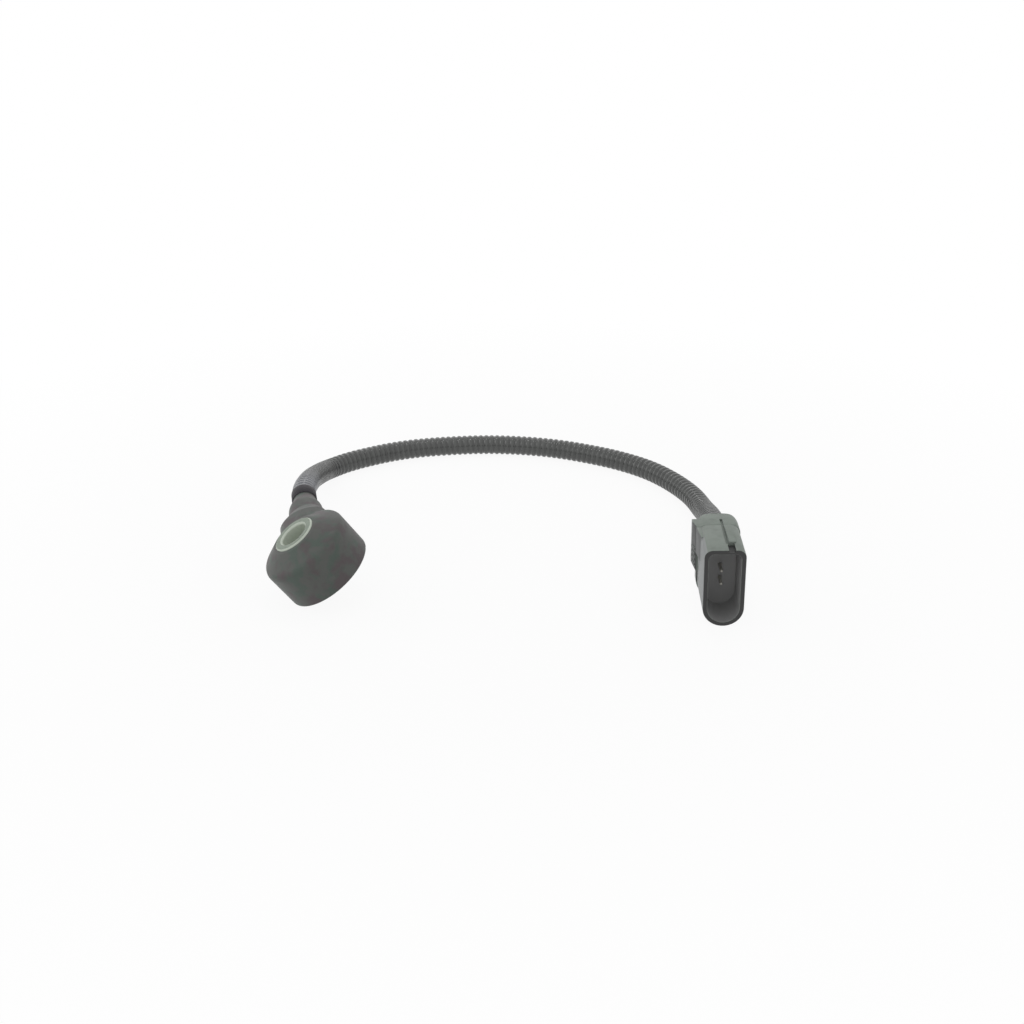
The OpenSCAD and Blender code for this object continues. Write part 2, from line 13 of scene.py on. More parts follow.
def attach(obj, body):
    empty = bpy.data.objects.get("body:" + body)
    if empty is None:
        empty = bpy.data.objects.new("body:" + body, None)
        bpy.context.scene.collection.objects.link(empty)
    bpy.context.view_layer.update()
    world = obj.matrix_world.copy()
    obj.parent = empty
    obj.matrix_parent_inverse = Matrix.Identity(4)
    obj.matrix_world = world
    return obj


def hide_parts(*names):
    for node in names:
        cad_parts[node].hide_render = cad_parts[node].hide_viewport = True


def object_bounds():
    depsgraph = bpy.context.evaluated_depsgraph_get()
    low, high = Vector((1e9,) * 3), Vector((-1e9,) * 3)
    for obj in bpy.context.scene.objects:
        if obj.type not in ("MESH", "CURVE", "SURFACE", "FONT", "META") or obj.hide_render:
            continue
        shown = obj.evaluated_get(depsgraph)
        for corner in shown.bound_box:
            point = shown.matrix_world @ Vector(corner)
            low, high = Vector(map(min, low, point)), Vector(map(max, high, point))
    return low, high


bl_info = {
    "name": "Knock sensor",
    "version": (1, 0, 0),
    "blender": (4, 5, 0),
    "location": "View3D > Sidebar > Sensor",
    "description": "Builds the looks of a knock sensor round its packed solids",
    "category": "Object",
}

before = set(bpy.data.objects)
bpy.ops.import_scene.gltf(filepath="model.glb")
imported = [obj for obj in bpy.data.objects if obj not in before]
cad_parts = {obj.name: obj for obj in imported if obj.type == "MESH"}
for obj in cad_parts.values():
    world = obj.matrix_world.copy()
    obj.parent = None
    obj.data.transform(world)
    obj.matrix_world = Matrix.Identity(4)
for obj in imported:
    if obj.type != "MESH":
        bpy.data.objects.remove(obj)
cad_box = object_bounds()
FLOOR_Z = cad_box[0][2]
MM = 0.001
BODY = "root"
# Play between moulded pieces and between pieces that slide
MOULD_GAP = 0.05 * MM
SLIDE_GAP = 0.1 * MM
# How far a cutting or added shape reaches past the face that it meets
CUT = 1 * MM
# How near to a plane the middle of a face on it may lie
NEAR = 0.1 * MM
# Angle from which an edge is rounded
SHARP = math.radians(35)


def length(name, default, description):
    """A size that a user can change, with its default in millimetres."""
    return FloatProperty(name=name, default=default * MM, description=description, unit="LENGTH",
                         precision=5)


def number(name, default, description, least=0):
    """A plain number that a user can change."""
    return FloatProperty(name=name, default=default, description=description, min=least)


def angle(name, degrees, description):
    """An angle that a user can change."""
    return FloatProperty(name=name, default=math.radians(degrees), description=description, unit="ROTATION")


def linear(part):
    """A part of a screen colour, from 0 to 255, in the renderer's linear units."""
    part /= 255
    return part / 12.92 if part <= 0.04045 else ((part + 0.055) / 1.055) ** 2.4


def colour(name, shown, description):
    """A colour that a user can change, with its default as a screen shows it."""
    return FloatVectorProperty(name=name, default=[linear(part) for part in shown],
                               description=description, subtype="COLOR", min=0, max=1)


class HeadSizes(PropertyGroup):
    """Sizes of the round head, measured from its seat."""
    tilt: angle("Tilt", 33.7, "Sideways lean of the bolt bore")
    lift: angle("Lift", 3.7, "Rise of the neck above level")
    housing_d: length("Housing diameter", 28, "Outside of the moulded housing")
    housing_bottom: length("Bottom edge", 0.8, "Height of the housing's bottom edge")
    rim_h: length("Rim height", 13.6, "Height at which the wall meets the cone")
    rim_round: length("Rim rounding", 2.2, "How far the rim's rounding reaches")
    land_h: length("Land height", 17.5, "Height of the land round the stem")
    land_d: length("Land diameter", 14.8, "Outside of the land round the stem")
    bore_d: length("Bore", 8.4, "Diameter of the bolt bore")
    stem_d: length("Stem", 13.4, "Outside of the steel stem")
    sleeve_h: length("Sleeve height", 18, "Height of the steel sleeve")
    flange_d: length("Flange", 22, "Diameter of the steel flange")
    flange_t: length("Flange thickness", 3, "Thickness of the steel flange")
    chamfer: length("Inner chamfer", 0.5, "Chamfer on the bright ring, at the bore")
    outer_chamfer: length("Outer chamfer", 0.4, "Chamfer on the bright ring, outside")
    flange_edge: length("Flange edge", 0.35, "Chamfer on the flange's lower edge")
    steel_round: length("Steel rounding", 0.12, "Rounding of the steel's edges")
    edge_break: length("Edge rounding", 0.3, "Rounding of the housing's bottom edge")
    skin_grain: length("Skin grain", 0.24, "Grain of the skin that joins the head's shapes")
    stack_d: length("Stack diameter", 20, "Outside of the sensing stack")
    stack_top: length("Stack top", 15.2, "Height of the clamp nut's top")
    neck_h: length("Neck height", 9.3, "Height of the neck's centre line")
    root_w: length("Root width", 14.6, "Width of the neck's square root")
    root_corner: length("Root corner", 5.4, "Corner radius of the square root")
    root_len: length("Root length", 21.6, "Distance to where the root rounds off")
    root_fade: length("Root fade", 11.6, "Length over which the root rounds off")
    shoulder_len: length("Shoulder length", 3.2, "Length of the shoulder behind the root")
    root_trim: length("Root trim", 1.6, "How far the root's corners are turned down")
    flat: number("Flattening", 1.16, "Width of the root over its height", 1)
    neck_start_d: length("Neck start", 11, "Diameter of the neck at the shoulder")
    neck_end_d: length("Neck end", 7.7, "Diameter of the neck at its end")
    neck_len: length("Neck length", 33.4, "Distance from the bore to the neck's end")
    band_len: length("Band length", 5.6, "Length of the dark sleeve")
    band_lap: length("Band lap", 0.8, "How far the dark sleeve reaches back over the neck")
    band_wall: length("Band wall", 0.16, "Wall of the dark sleeve")
    band_lip: length("Band lip", 0.12, "Rounding of the dark sleeve's ends")
    neck_plain: length("Plain end", 0.8, "Length of the neck's end that doesn't taper")
    spigot_len: length("Spigot length", 5, "Length of the spigot inside the conduit")
    spigot_wall: length("Spigot wall", 0.5, "Wall of the spigot round the passage")
    passage_d: length("Passage", 3.8, "Diameter of the passage for the wires")


class ConduitSizes(PropertyGroup):
    """Sizes of the corrugated conduit."""
    outside_d: length("Outside", 7.75, "Diameter over the ribs")
    groove_t: length("Groove depth", 0.38, "How deep the grooves between the ribs are")
    inside_d: length("Inside", 5.7, "Diameter of the bore")
    pitch: length("Pitch", 2.2, "Distance from rib to rib")
    lead_len: length("Lead length", 6, "How far it runs straight on from the neck")
    entry_run: length("Entry run", 1.5, "How far before the collar it lines up with the cover")
    seat_len: length("Seat", 0.6, "How deep it reaches into the cover's rear")
    sides: IntProperty(name="Sides", default=32, min=12, max=64, description="Corners of one ring")


class PlugSizes(PropertyGroup):
    """Sizes of the connector, measured from its front face and its bottom."""
    front_x: length("Front X", 108.3, "Place of the front face's bottom point")
    front_y: length("Front Y", -46.4, "Place of the front face's bottom point")
    turn: angle("Turn", 17.7, "Turn from the neck's direction")
    roll: angle("Roll", 2.75, "Roll on the rounded bottom")
    width: length("Width", 11.8, "Width of the connector")
    height: length("Height", 24.6, "Height of the connector")
    body_len: length("Body length", 16.7, "Length of the shroud and body")
    wall: length("Wall", 1.3, "Wall of the shroud")
    step: length("Step", 1.6, "How far the body's rear is stepped in to enter the cover")
    step_len: length("Step length", 3.4, "Length of the stepped rear")
    socket_depth: length("Socket depth", 11.2, "Depth of the opening")
    corner: length("Corner", 2.4, "Radius of the two top corners")
    edge: length("Edge rounding", 0.3, "Rounding of the moulded edges")
    pin_mid_h: length("Pin height", 12.3, "Height midway between the pins")
    pin_pitch: length("Pin pitch", 4.2, "Distance between the pins")
    pin_d: length("Pin", 1, "Diameter of a pin")
    groove_x: length("Groove place", 0.5, "Left edge of the groove in the top")
    groove_w: length("Groove width", 0.8, "Width of the groove in the top")
    groove_t: length("Groove depth", 0.6, "Depth of the groove in the top")
    groove_start: length("Groove start", 4.2, "Front end of the groove")
    groove_end: length("Groove end", 20.6, "Rear end of the groove")
    ramp_w: length("Ramp width", 2, "Width of the latch ramp")
    ramp_rise: length("Ramp rise", 0.5, "Rise of the latch ramp above the top")
    recess_len: length("Recess length", 4.6, "Length of the recess before the ramp")
    recess_t: length("Recess depth", 0.8, "Depth of the recess before the ramp")
    ramp_round: length("Ramp rounding", 0.25, "Rounding of the ramp's front")
    web_t: length("Web", 0.6, "Wall between the socket and the terminals")
    chamber_d: length("Terminal chamber", 3.5, "Bore round a terminal")
    seal_bore: length("Seal bore", 3.6, "Bore round a wire's seal")
    seal_inset: length("Seal inset", 0.3, "How far a seal's bore starts behind the body")
    lock_back: length("Lock place", 0.8, "Distance from the web to the terminal lock")
    lock_len: length("Lock length", 2.4, "Length of the terminal lock")
    lock_t: length("Lock thickness", 1.3, "Thickness of the terminal lock")
    lock_tip: length("Lock tip", 1.2, "How far the lock reaches past the middle")
    rib_len: length("Rib length", 6.7, "Length of the rib that rises to the wing")
    rib_low: length("Rib low end", 15.6, "Height of the rib's lower end")
    cover_len: length("Cover length", 7.9, "Length of the rear cover")
    cover_over: length("Cover overhang", 0.4, "How far the cover stands out beyond the sides")
    cover_corner: length("Cover corner", 4.6, "Radius of the cover's rear corners")
    entry_h: length("Entry height", 12.3, "Height of the conduit's centre")
    collar_d: length("Collar", 10.4, "Outside of the conduit's collar")
    collar_len: length("Collar length", 5, "Length of the conduit's collar")
    fan_w: length("Wire space width", 3.5, "Width of the space where the wires part")
    fan_low: length("Wire space low end", 8.9, "Height of that space's lower end")
    fan_high: length("Wire space high end", 15.7, "Height of that space's upper end")
    fan_wall: length("Wire space wall", 0.5, "Wall between that space and the cover's rear")
    wing_w: length("Wing reach", 1.6, "Reach of the side wing")
    wing_run: length("Wing slant", 3.3, "Length of the wing's slanting front")
    wing_low: length("Wing low end", 10.4, "Height of the wing's lower end")
    wing_high: length("Wing high end", 24, "Height of the wing's upper end")
    ridge_t: length("Ridge", 0.45, "Depth of the wing's grip ridges")
    ridge_pitch: length("Ridge pitch", 1.7, "Spacing of the grip ridges")
    ridge_inset: length("Ridge inset", 0.5, "How deep and how high up the wing the ridges start")
    grip_round: length("Grip rounding", 0.2, "Rounding of the rib's and the wing's edges")


class Finishes(PropertyGroup):
    """Colours of the sensor's materials."""
    moulding: colour("Head plastic", (87, 89, 86), "Moulded head")
    moulding_green: colour("Head plastic, green", (76, 88, 81), "Greenish patches of the head")
    moulding_warm: colour("Head plastic, warm", (85, 77, 79), "Warm patches of the head")
    band: colour("Band", (40, 37, 42), "Dark sleeve on the neck")
    conduit: colour("Conduit", (67, 69, 67), "Corrugated conduit")
    # Painted sheen: a pale colour in place of the highlight on the conduit towards its ends
    dust: colour("Dust", (138, 140, 148), "Pale dust on the conduit")
    connector: colour("Connector", (121, 129, 122), "Connector's moulding")
    # Painted light: the sides that face the left lamp take this paler colour
    connector_lit_side: colour("Connector's sides", (146, 148, 149), "Rubbed sides of the connector")
    # Painted shade: the recess in the top takes this dark colour, and the front takes it partly as darker
    # plastic, partly as painted shade
    socket: colour("Socket", (53, 53, 53), "Front of the connector")
    # Painted light: the opening takes a paler colour than the body to offset the shade inside it
    socket_inside_painted_light: colour("Socket, inside", (138, 138, 138), "Dusty inside of the opening")
    # Painted highlight: this bright colour stands in for the highlights on the sleeve's edges and bore
    steel: colour("Steel", (124, 136, 122), "Dull faces of the turned sleeve")
    worn: colour("Worn steel", (200, 207, 195), "Rubbed edges of the turned sleeve")
    # Painted shade on the fronts of the rib, the wing and the ridges, partly a darker front that the part
    # shows
    rib_painted_shade: number("Rib's shade", 0.62, "How dark the rib's slope is")
    wing_painted_shade: number("Wing's shade", 0.75, "How dark the wing's slanting front is")
    ridge_painted_shade: number("Ridges' shade", 0.1, "How dark the ends of the ridges are")
    tin: colour("Tin", (178, 176, 168), "Tinned terminals")
    brass: colour("Brass", (196, 164, 92), "Contact sheet")
    ceramic: colour("Ceramic", (226, 218, 196), "Piezo ring")
    film: colour("Film", (206, 186, 130), "Insulating film")
    seal: colour("Seal", (74, 104, 140), "Wire seals")
    wire_light: colour("Light wire", (196, 196, 188), "Insulation of the signal wire")
    wire_dark: colour("Dark wire", (44, 44, 44), "Insulation of the ground wire")


class StageSettings(PropertyGroup):
    """Camera, lamps and floor."""
    camera_x: length("Camera X", -10.17, "Place of the camera")
    camera_y: length("Camera Y", -277.38, "Place of the camera")
    camera_z: length("Camera Z", 147.24, "Place of the camera")
    pitch: angle("Pitch", 65, "Turn of the camera up from straight down")
    yaw: angle("Yaw", -13.6, "Turn of the camera about the vertical")
    lens: number("Lens", 35.58, "Focal length in millimetres", 1)
    world: number("World", 0.74, "Strength of the surrounding light")
    top_power: number("Top lamp", 0.13, "Power of the top lamp, watts")
    left_power: number("Left lamp", 0.34, "Power of the left lamp, watts")
    back_power: number("Back lamp", 0.15, "Power of the back lamp, watts")
    floor_white: number("Floor white", 0.92, "How white the floor looks near the object")
    shadow_near: length("Shadow, near", 100, "Distance within which the floor keeps its shadow")
    shadow_far: length("Shadow, far", 300, "Distance past which the floor looks white")
    floor_size: length("Floor size", 6000, "Edge of the floor")


class SensorSettings(PropertyGroup):
    """Everything that a user can change."""
    head: PointerProperty(type=HeadSizes)
    conduit: PointerProperty(type=ConduitSizes)
    plug: PointerProperty(type=PlugSizes)
    finishes: PointerProperty(type=Finishes)
    stage: PointerProperty(type=StageSettings)


# Lamps: name, place, what each looks at and its size, in metres
LAMPS = (
    ("top", (0.05, 0.16, 0.6), (0.05, 0.04, 0), 0.05),
    ("left", (-0.45, 0.2, 0.3), (0.05, 0.02, 0), 0.3),
    ("back", (0.1, 0.65, 0.4), (0.06, 0.03, 0), 0.3),
)
FLOOR_MIDDLE = (0.06, 0.03, FLOOR_Z)

# One rib of the conduit: share of the pitch, share of the groove's depth
RIB_WAVE = ((0.0, 0.0), (0.1, 0.75), (0.2, 1.0), (0.5, 1.0), (0.6, 0.75), (0.7, 0.0))
# Painted sheen at the conduit's ends, a pale colour that stands in for the highlight: the end, how much lies
# there, and over what length it would fall by one
PAINTED_SHEEN = ((0, 0.8, 40 * MM), (1, 0.14, 300 * MM))
# Distance between the points of the conduit's smooth line
ROUTE_STEP = 0.5 * MM
# Solids that lie along the conduit; they are gathered with it but not moved
CORD_NODES = ("signal_wire", "ground_wire", "terminal_upper", "terminal_lower", "terminal_lock",
              "seal_upper", "seal_lower")
# Conduit's centre line between the neck and the rear cover, in millimetres: x, y and height above
# the floor
CORD_ROUTE = [
    (-4.4, 45, 16.5),
    (-3.4, 51.5, 15.1),
    (-2.4, 58, 13.4),
    (-1.2, 65.5, 11.2),
    (0.7, 73, 9.1),
    (2.7, 80, 7.1),
    (6, 89.5, 4.3),
    (14, 96, 3.94),
    (23, 100, 3.88),
    (32.5, 103, 3.88),
    (43.5, 104.5, 3.88),
    (57.5, 104, 3.88),
    (71, 102, 3.88),
    (84.5, 97.5, 3.88),
    (97, 91, 3.88),
    (108, 82.5, 3.88),
    (118, 72.5, 3.88),
    (126, 60.5, 3.88),
    (130.5, 47.5, 3.88),
    (132.5, 34, 3.88),
    (131, 20.5, 4.7),
    (127.5, 7.5, 8.2),
    (123, -6, 11.2),
]


def settings():
    """The sensor's settings."""
    return bpy.context.scene.sensor


def head_frame():
    """Places a shape drawn with the bore upright and the neck along +Y."""
    head = settings().head
    return Matrix.Rotation(head.lift, 4, "X") @ Matrix.Rotation(-head.tilt, 4, "Y")


def along_neck():
    """Lays a shape drawn round +Z along the neck of an upright head."""
    return Matrix.Translation((0, 0, settings().head.neck_h)) @ Matrix.Rotation(-math.pi / 2, 4, "X")


def neck_frame():
    """Places a shape drawn round +Z along the neck's centre line."""
    return head_frame() @ along_neck()


def plug_frame():
    """Places a shape drawn with the connector's front at y = 0 and its bottom at z = 0."""
    plug = settings().plug
    radius = Vector((0, 0, plug.width / 2))
    stand = Matrix.Translation((plug.front_x, plug.front_y, FLOOR_Z)) @ Matrix.Rotation(-plug.turn, 4, "Z")
    roll = Matrix.Rotation(-plug.roll, 4, "Y")
    return stand @ Matrix.Translation(radius) @ roll @ Matrix.Translation(-radius)


# Mesh tools

def finish_mesh(bm, place=Matrix.Identity(4)):
    """Merges a shape's doubles, turns its faces outwards and puts it in its place."""
    bmesh.ops.remove_doubles(bm, verts=bm.verts, dist=1e-7)
    bmesh.ops.recalc_face_normals(bm, faces=bm.faces)
    bmesh.ops.transform(bm, matrix=place, verts=bm.verts)
    return bm


def to_object(bm, name):
    """A new object from a finished shape."""
    mesh = bpy.data.meshes.new(name)
    bm.to_mesh(mesh)
    bm.free()
    piece = bpy.data.objects.new(name, mesh)
    bpy.context.scene.collection.objects.link(piece)
    return piece


def to_shape(piece):
    """A helper object's mesh as a loose shape, after which the object goes."""
    bm = bmesh.new()
    bm.from_mesh(piece.data)
    drop(piece)
    return bm


def drop(piece):
    """Deletes a helper object and its mesh."""
    mesh = piece.data
    bpy.data.objects.remove(piece)
    bpy.data.meshes.remove(mesh)


def bevelled(bm, parts, reach, segments, kind="EDGES"):
    """A shape with some of its edges or corners rounded."""
    bmesh.ops.bevel(bm, geom=parts, offset=reach, offset_type="OFFSET", segments=segments, profile=0.5,
                    affect=kind, clamp_overlap=kind == "EDGES", material=-1)
    return bm


def spun(profile, steps=96):
    """A shape turned round +Z from its closed profile of radius and height."""
    bm = bmesh.new()
    verts = [bm.verts.new((radius, 0, height)) for radius, height in profile]
    edges = [bm.edges.new(pair) for pair in zip(verts, verts[1:] + verts[:1])]
    bmesh.ops.spin(bm, geom=verts + edges, cent=(0, 0, 0), axis=(0, 0, 1), angle=2 * math.pi,
                   steps=steps, use_merge=True)
    return finish_mesh(bm)


def rounded_profile(points, roundings, segments=5):
    """The points of an outline after some of its corners are rounded."""
    bm = bmesh.new()
    bm.faces.new([bm.verts.new((x, 0, z)) for x, z in points])
    for (x, z), reach in roundings.items():
        corner = min(bm.verts, key=lambda v: (v.co - Vector((x, 0, z))).length)
        bevelled(bm, [corner], reach, segments, "VERTICES")
    outline = [(v.co.x, v.co.z) for v in next(iter(bm.faces)).verts]
    bm.free()
    return outline


def prism(outline, start, end):
    """A straight bar along y with the given outline in x and z."""
    bm = bmesh.new()
    face = bm.faces.new([bm.verts.new((x, start, z)) for x, z in outline])
    grown = bmesh.ops.extrude_face_region(bm, geom=[face])["geom"]
    moved = [part for part in grown if isinstance(part, bmesh.types.BMVert)]
    bmesh.ops.translate(bm, verts=moved, vec=(0, end - start, 0))
    return finish_mesh(bm)


def post(outline, low, high):
    """A straight post along z with the given outline in x and y."""
    bm = prism([(x, -y) for x, y in outline], low, high)
    return finish_mesh(bm, Matrix.Rotation(math.pi / 2, 4, "X"))


def block(low, high):
    """A box between two corners."""
    bm = bmesh.new()
    low, high = Vector(low), Vector(high)
    bmesh.ops.create_cube(bm, size=1)
    bmesh.ops.scale(bm, vec=high - low, verts=bm.verts)
    bmesh.ops.translate(bm, vec=(low + high) / 2, verts=bm.verts)
    return finish_mesh(bm)


def rod(start, end, diameter, height=0, steps=48):
    """A round bar along y at a height."""
    bm = bmesh.new()
    bmesh.ops.create_cone(bm, cap_ends=True, segments=steps, radius1=diameter / 2, radius2=diameter / 2,
                          depth=end - start)
    lay = Matrix.Translation((0, (start + end) / 2, height)) @ Matrix.Rotation(math.pi / 2, 4, "X")
    return finish_mesh(bm, lay)


def joined(shapes):
    """Several shapes as one bmesh."""
    whole = bmesh.new()
    for bm in shapes:
        mesh = bpy.data.meshes.new("part")
        bm.to_mesh(mesh)
        bm.free()
        whole.from_mesh(mesh)
        bpy.data.meshes.remove(mesh)
    return whole


def apply_modifiers(piece):
    """Makes what the modifiers show the piece's own mesh."""
    bpy.context.view_layer.update()
    shown = piece.evaluated_get(bpy.context.evaluated_depsgraph_get())
    mesh = bpy.data.meshes.new_from_object(shown)
    piece.modifiers.clear()
    plain_mesh = piece.data
    piece.data = mesh
    bpy.data.meshes.remove(plain_mesh)


def combine(piece, shape, operation):
    """Adds a shape to a piece, cuts it away or keeps what both share."""
    tool = to_object(shape, "tool")
    step = piece.modifiers.new(operation.lower(), "BOOLEAN")
    step.operation = operation
    step.object = tool
    step.solver = "EXACT"
    step.use_self = True
    apply_modifiers(piece)
    drop(tool)


def add_on(piece, *shapes):
    """Adds shapes to a piece, one after another."""
    for shape in shapes:
        combine(piece, shape, "UNION")


def cut_away(piece, *shapes):
    """Cuts shapes away from a piece, one after another."""
    for shape in shapes:
        combine(piece, shape, "DIFFERENCE")


def blend_together(piece, voxel, passes):
    """Melts a piece's overlapping shapes into one skin with soft inner corners."""
    remesh = piece.modifiers.new("skin", "REMESH")
    remesh.mode = "VOXEL"
    remesh.voxel_size = voxel
    soften = piece.modifiers.new("soften", "SMOOTH")
    soften.factor = 0.5
    soften.iterations = passes
    apply_modifiers(piece)


def round_edges(piece, width, segments=3):
    """Rounds a piece's sharp edges, as a mould does."""
    bevel = piece.modifiers.new("edges", "BEVEL")
    bevel.width = width
    bevel.segments = segments
    bevel.limit_method = "ANGLE"
    bevel.angle_limit = SHARP
    bevel.harden_normals = False
    apply_modifiers(piece)


def softened(bm, width, segments=2):
    """A loose shape with all of its sharp edges rounded."""
    return bevelled(bm, [edge for edge in bm.edges if edge.calc_face_angle(0) > SHARP], width, segments)


def mark(piece, name, share):
    """Stores on every face how much of a named look it takes, by its centre and facing."""
    values = piece.data.attributes.new(name, "FLOAT", "FACE")
    for face in piece.data.polygons:
        values.data[face.index].value = share(face.center, face.normal)


def dress(piece, limit, material, *nodes):
    """Finishes a piece: smooth up to a limit in degrees, its material, body and solids."""
    piece.data.shade_smooth()
    piece.data.set_sharp_from_angle(angle=math.radians(limit))
    piece.data.materials.clear()
    piece.data.materials.append(material)
    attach(piece, BODY)
    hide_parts(*nodes)


# Materials

def add_node(tree, kind, inputs, **values):
    """A new shader node, whose inputs take sockets or plain values, by name or by place."""
    node = tree.nodes.new("ShaderNode" + kind)
    for name, value in values.items():
        setattr(node, name, value)
    for place, source in inputs.items():
        if isinstance(source, bpy.types.NodeSocket):
            tree.links.new(source, node.inputs[place])
        else:
            node.inputs[place].default_value = source
    return node


class Surface:
    """A node material that is built step by step."""

    def __init__(self, name, roughness, metallic=0.0, specular=0.5):
        self.material = bpy.data.materials.new(name)
        self.material.use_nodes = True
        self.tree = self.material.node_tree
        self.shader = self.tree.nodes["Principled BSDF"]
        self.shader.inputs["Roughness"].default_value = roughness
        self.shader.inputs["Metallic"].default_value = metallic
        self.shader.inputs["Specular IOR Level"].default_value = specular
        self.coords = add_node(self.tree, "TexCoord", {}).outputs["Object"]
        self.bump = None

    def noise(self, size, detail):
        """Noise whose blobs are about the size given, in millimetres."""
        inputs = {"Vector": self.coords, "Scale": 1 / (size * MM), "Detail": detail}
        return add_node(self.tree, "TexNoise", inputs).outputs["Fac"]

    def ramp(self, value, *stops):
        """A colour ramp over a value, between two stops of position and colour."""
        node = add_node(self.tree, "ValToRGB", {"Fac": value})
        for element, (position, tint) in zip(node.color_ramp.elements, stops):
            element.position = position
            element.color = (*tint, 1)
        return node.outputs["Color"]

    def mix(self, value, first, second, blend="MIX"):
        """Two colours, sockets or plain, mixed by a value."""
        inputs = {0: value}
        for place, source in ((6, first), (7, second)):
            inputs[place] = source if isinstance(source, bpy.types.NodeSocket) else (*source, 1)
        return add_node(self.tree, "Mix", inputs, data_type="RGBA", blend_type=blend).outputs[2]

    def level(self, value, low, high):
        """A value spread from low to high."""
        inputs = {"Value": value, "To Min": low, "To Max": high}
        return add_node(self.tree, "MapRange", inputs).outputs["Result"]

    def patchwork(self, base, patches):
        """A base colour with soft patches of other colours, each kind larger than the last."""
        painted = base
        for i, patch in enumerate(patches):
            where = self.ramp(self.noise(4 + i, 2), (0.48, (0, 0, 0)), (0.62, (1, 1, 1)))
            painted = self.mix(where, painted, patch)
        return painted

    def rubbed(self, painted, base):
        """Paler specks where a surface has been handled."""
        return self.mix(self.level(self.noise(0.9, 4), 0.0, 0.3), painted, shade(base, 1.25))

    def attribute(self, name):
        """A value that the mesh carries."""
        return add_node(self.tree, "Attribute", {}, attribute_name=name).outputs["Fac"]

    def paint(self, socket):
        """Sets the base colour."""
        self.tree.links.new(socket, self.shader.inputs["Base Color"])

    def gloss(self, size, low, high):
        """Sets the roughness, which wanders between two values."""
        self.tree.links.new(self.level(self.noise(size, 3), low, high), self.shader.inputs["Roughness"])

    def relief(self, size, detail, depth, strength):
        """Adds fine relief; the size of its blobs and its depth are in millimetres."""
        inputs = {"Height": self.noise(size, detail), "Distance": depth * MM, "Strength": strength}
        if self.bump:
            inputs["Normal"] = self.bump
        self.bump = add_node(self.tree, "Bump", inputs).outputs["Normal"]
        self.tree.links.new(self.bump, self.shader.inputs["Normal"])
        return self


def shade(base, factor):
    """A colour made lighter or darker."""
    return tuple(min(1.0, channel * factor) for channel in base)


def plastic(name, base, patches, roughness=0.46):
    """Satin moulded plastic with soft patches, handling marks and a fine grain."""
    surface = Surface(name, roughness, specular=0.28)
    surface.paint(surface.rubbed(surface.patchwork(base, patches), base))
    surface.gloss(2.5, roughness - 0.09, roughness + 0.11)
    surface.relief(0.12, 2, 0.02, 0.5)
    return surface.relief(3, 1, 0.05, 0.35).material


def connector_plastic(name):
    """The connector's grey plastic: sides painted paler as painted light, the front painted dark as painted
    shade, and the opening painted paler to offset its shade.
    """
    finishes = settings().finishes
    surface = Surface(name, 0.5, specular=0.4)
    base = finishes.connector
    body = surface.patchwork(base, [shade(base, 0.88), shade(base, 1.1)])
    # Painted light on the left-facing sides
    body = surface.mix(surface.attribute("side"), body, finishes.connector_lit_side)
    # Opening painted paler to offset its shade
    body = surface.mix(surface.attribute("inside"), surface.rubbed(body, base), finishes.socket_inside_painted_light)
    # Painted shade on the front and the top recess, and a lighter painted shade on the rib's and the wing's
    # fronts
    surface.paint(surface.mix(surface.attribute("dark"), body, finishes.socket))
    surface.gloss(2, 0.42, 0.6)
    surface.relief(0.12, 2, 0.02, 0.5)
    return surface.relief(2.5, 1, 0.04, 0.3).material


def turned_steel(name, base, worn, roughness=0.34, metallic=1.0):
    """Turned steel: dull flats with fine marks, and bright painted highlights on the marked edges."""
    surface = Surface(name, roughness, metallic=metallic)
    dull = surface.ramp(surface.noise(1.0, 4), (0.35, shade(base, 0.78)), (0.6, base))
    # Faces marked for it take the bright colour as a painted highlight
    surface.paint(surface.mix(surface.attribute("worn"), dull, worn))
    surface.gloss(0.8, roughness - 0.08, roughness + 0.15)
    return surface.relief(0.15, 2, 0.01, 0.5).material


def plain(name, base, roughness, metallic=0.0, grain=0.4):
    """A simple finish with slight unevenness, for the small inner pieces."""
    surface = Surface(name, roughness, metallic=metallic)
    surface.paint(surface.ramp(surface.noise(2, 3), (0.3, shade(base, 0.88)), (0.7, shade(base, 1.06))))
    return surface.relief(grain, 2, 0.01, 0.4).material


def ribbed_plastic(name):
    """Conduit plastic: painted shade in the grooves, painted sheen on the ribs, and pale painted sheen
    towards its ends.
    """
    finishes = settings().finishes
    base = finishes.conduit
    surface = Surface(name, 0.3, specular=0.8)
    # Painted shade in the grooves and painted sheen on the crests
    ribs = surface.mix(surface.attribute("rib"), shade(base, 0.68), shade(base, 1.08))
    # Pale painted sheen towards the conduit's ends
    ribs = surface.mix(surface.attribute("dust"), ribs, finishes.dust)
    blotches = surface.ramp(surface.noise(6, 3), (0.35, (0.8, 0.8, 0.8)), (0.65, (1, 1, 1)))
    surface.paint(surface.mix(1.0, ribs, blotches, "MULTIPLY"))
    surface.gloss(1.5, 0.1, 0.3)
    return surface.relief(0.3, 2, 0.01, 0.5).material


# Pieces

def smooth_route(knots, step, passes=60):
    """An even, smooth line through the knots, with a point at every step."""
    directions = tangents(knots)
    line = []
    for i in range(len(knots) - 1):
        reach = (knots[i + 1] - knots[i]).length / 3
        line += interpolate_bezier(knots[i], knots[i] + directions[i] * reach,
                                   knots[i + 1] - directions[i + 1] * reach, knots[i + 1], 24)[:-1]
    line = spaced(line + [knots[-1]], step)
    for _ in range(passes):
        line = [line[0]] + [(line[i - 1] + 2 * line[i] + line[i + 1]) / 4
                            for i in range(1, len(line) - 1)] + [line[-1]]
    return spaced(line, step)


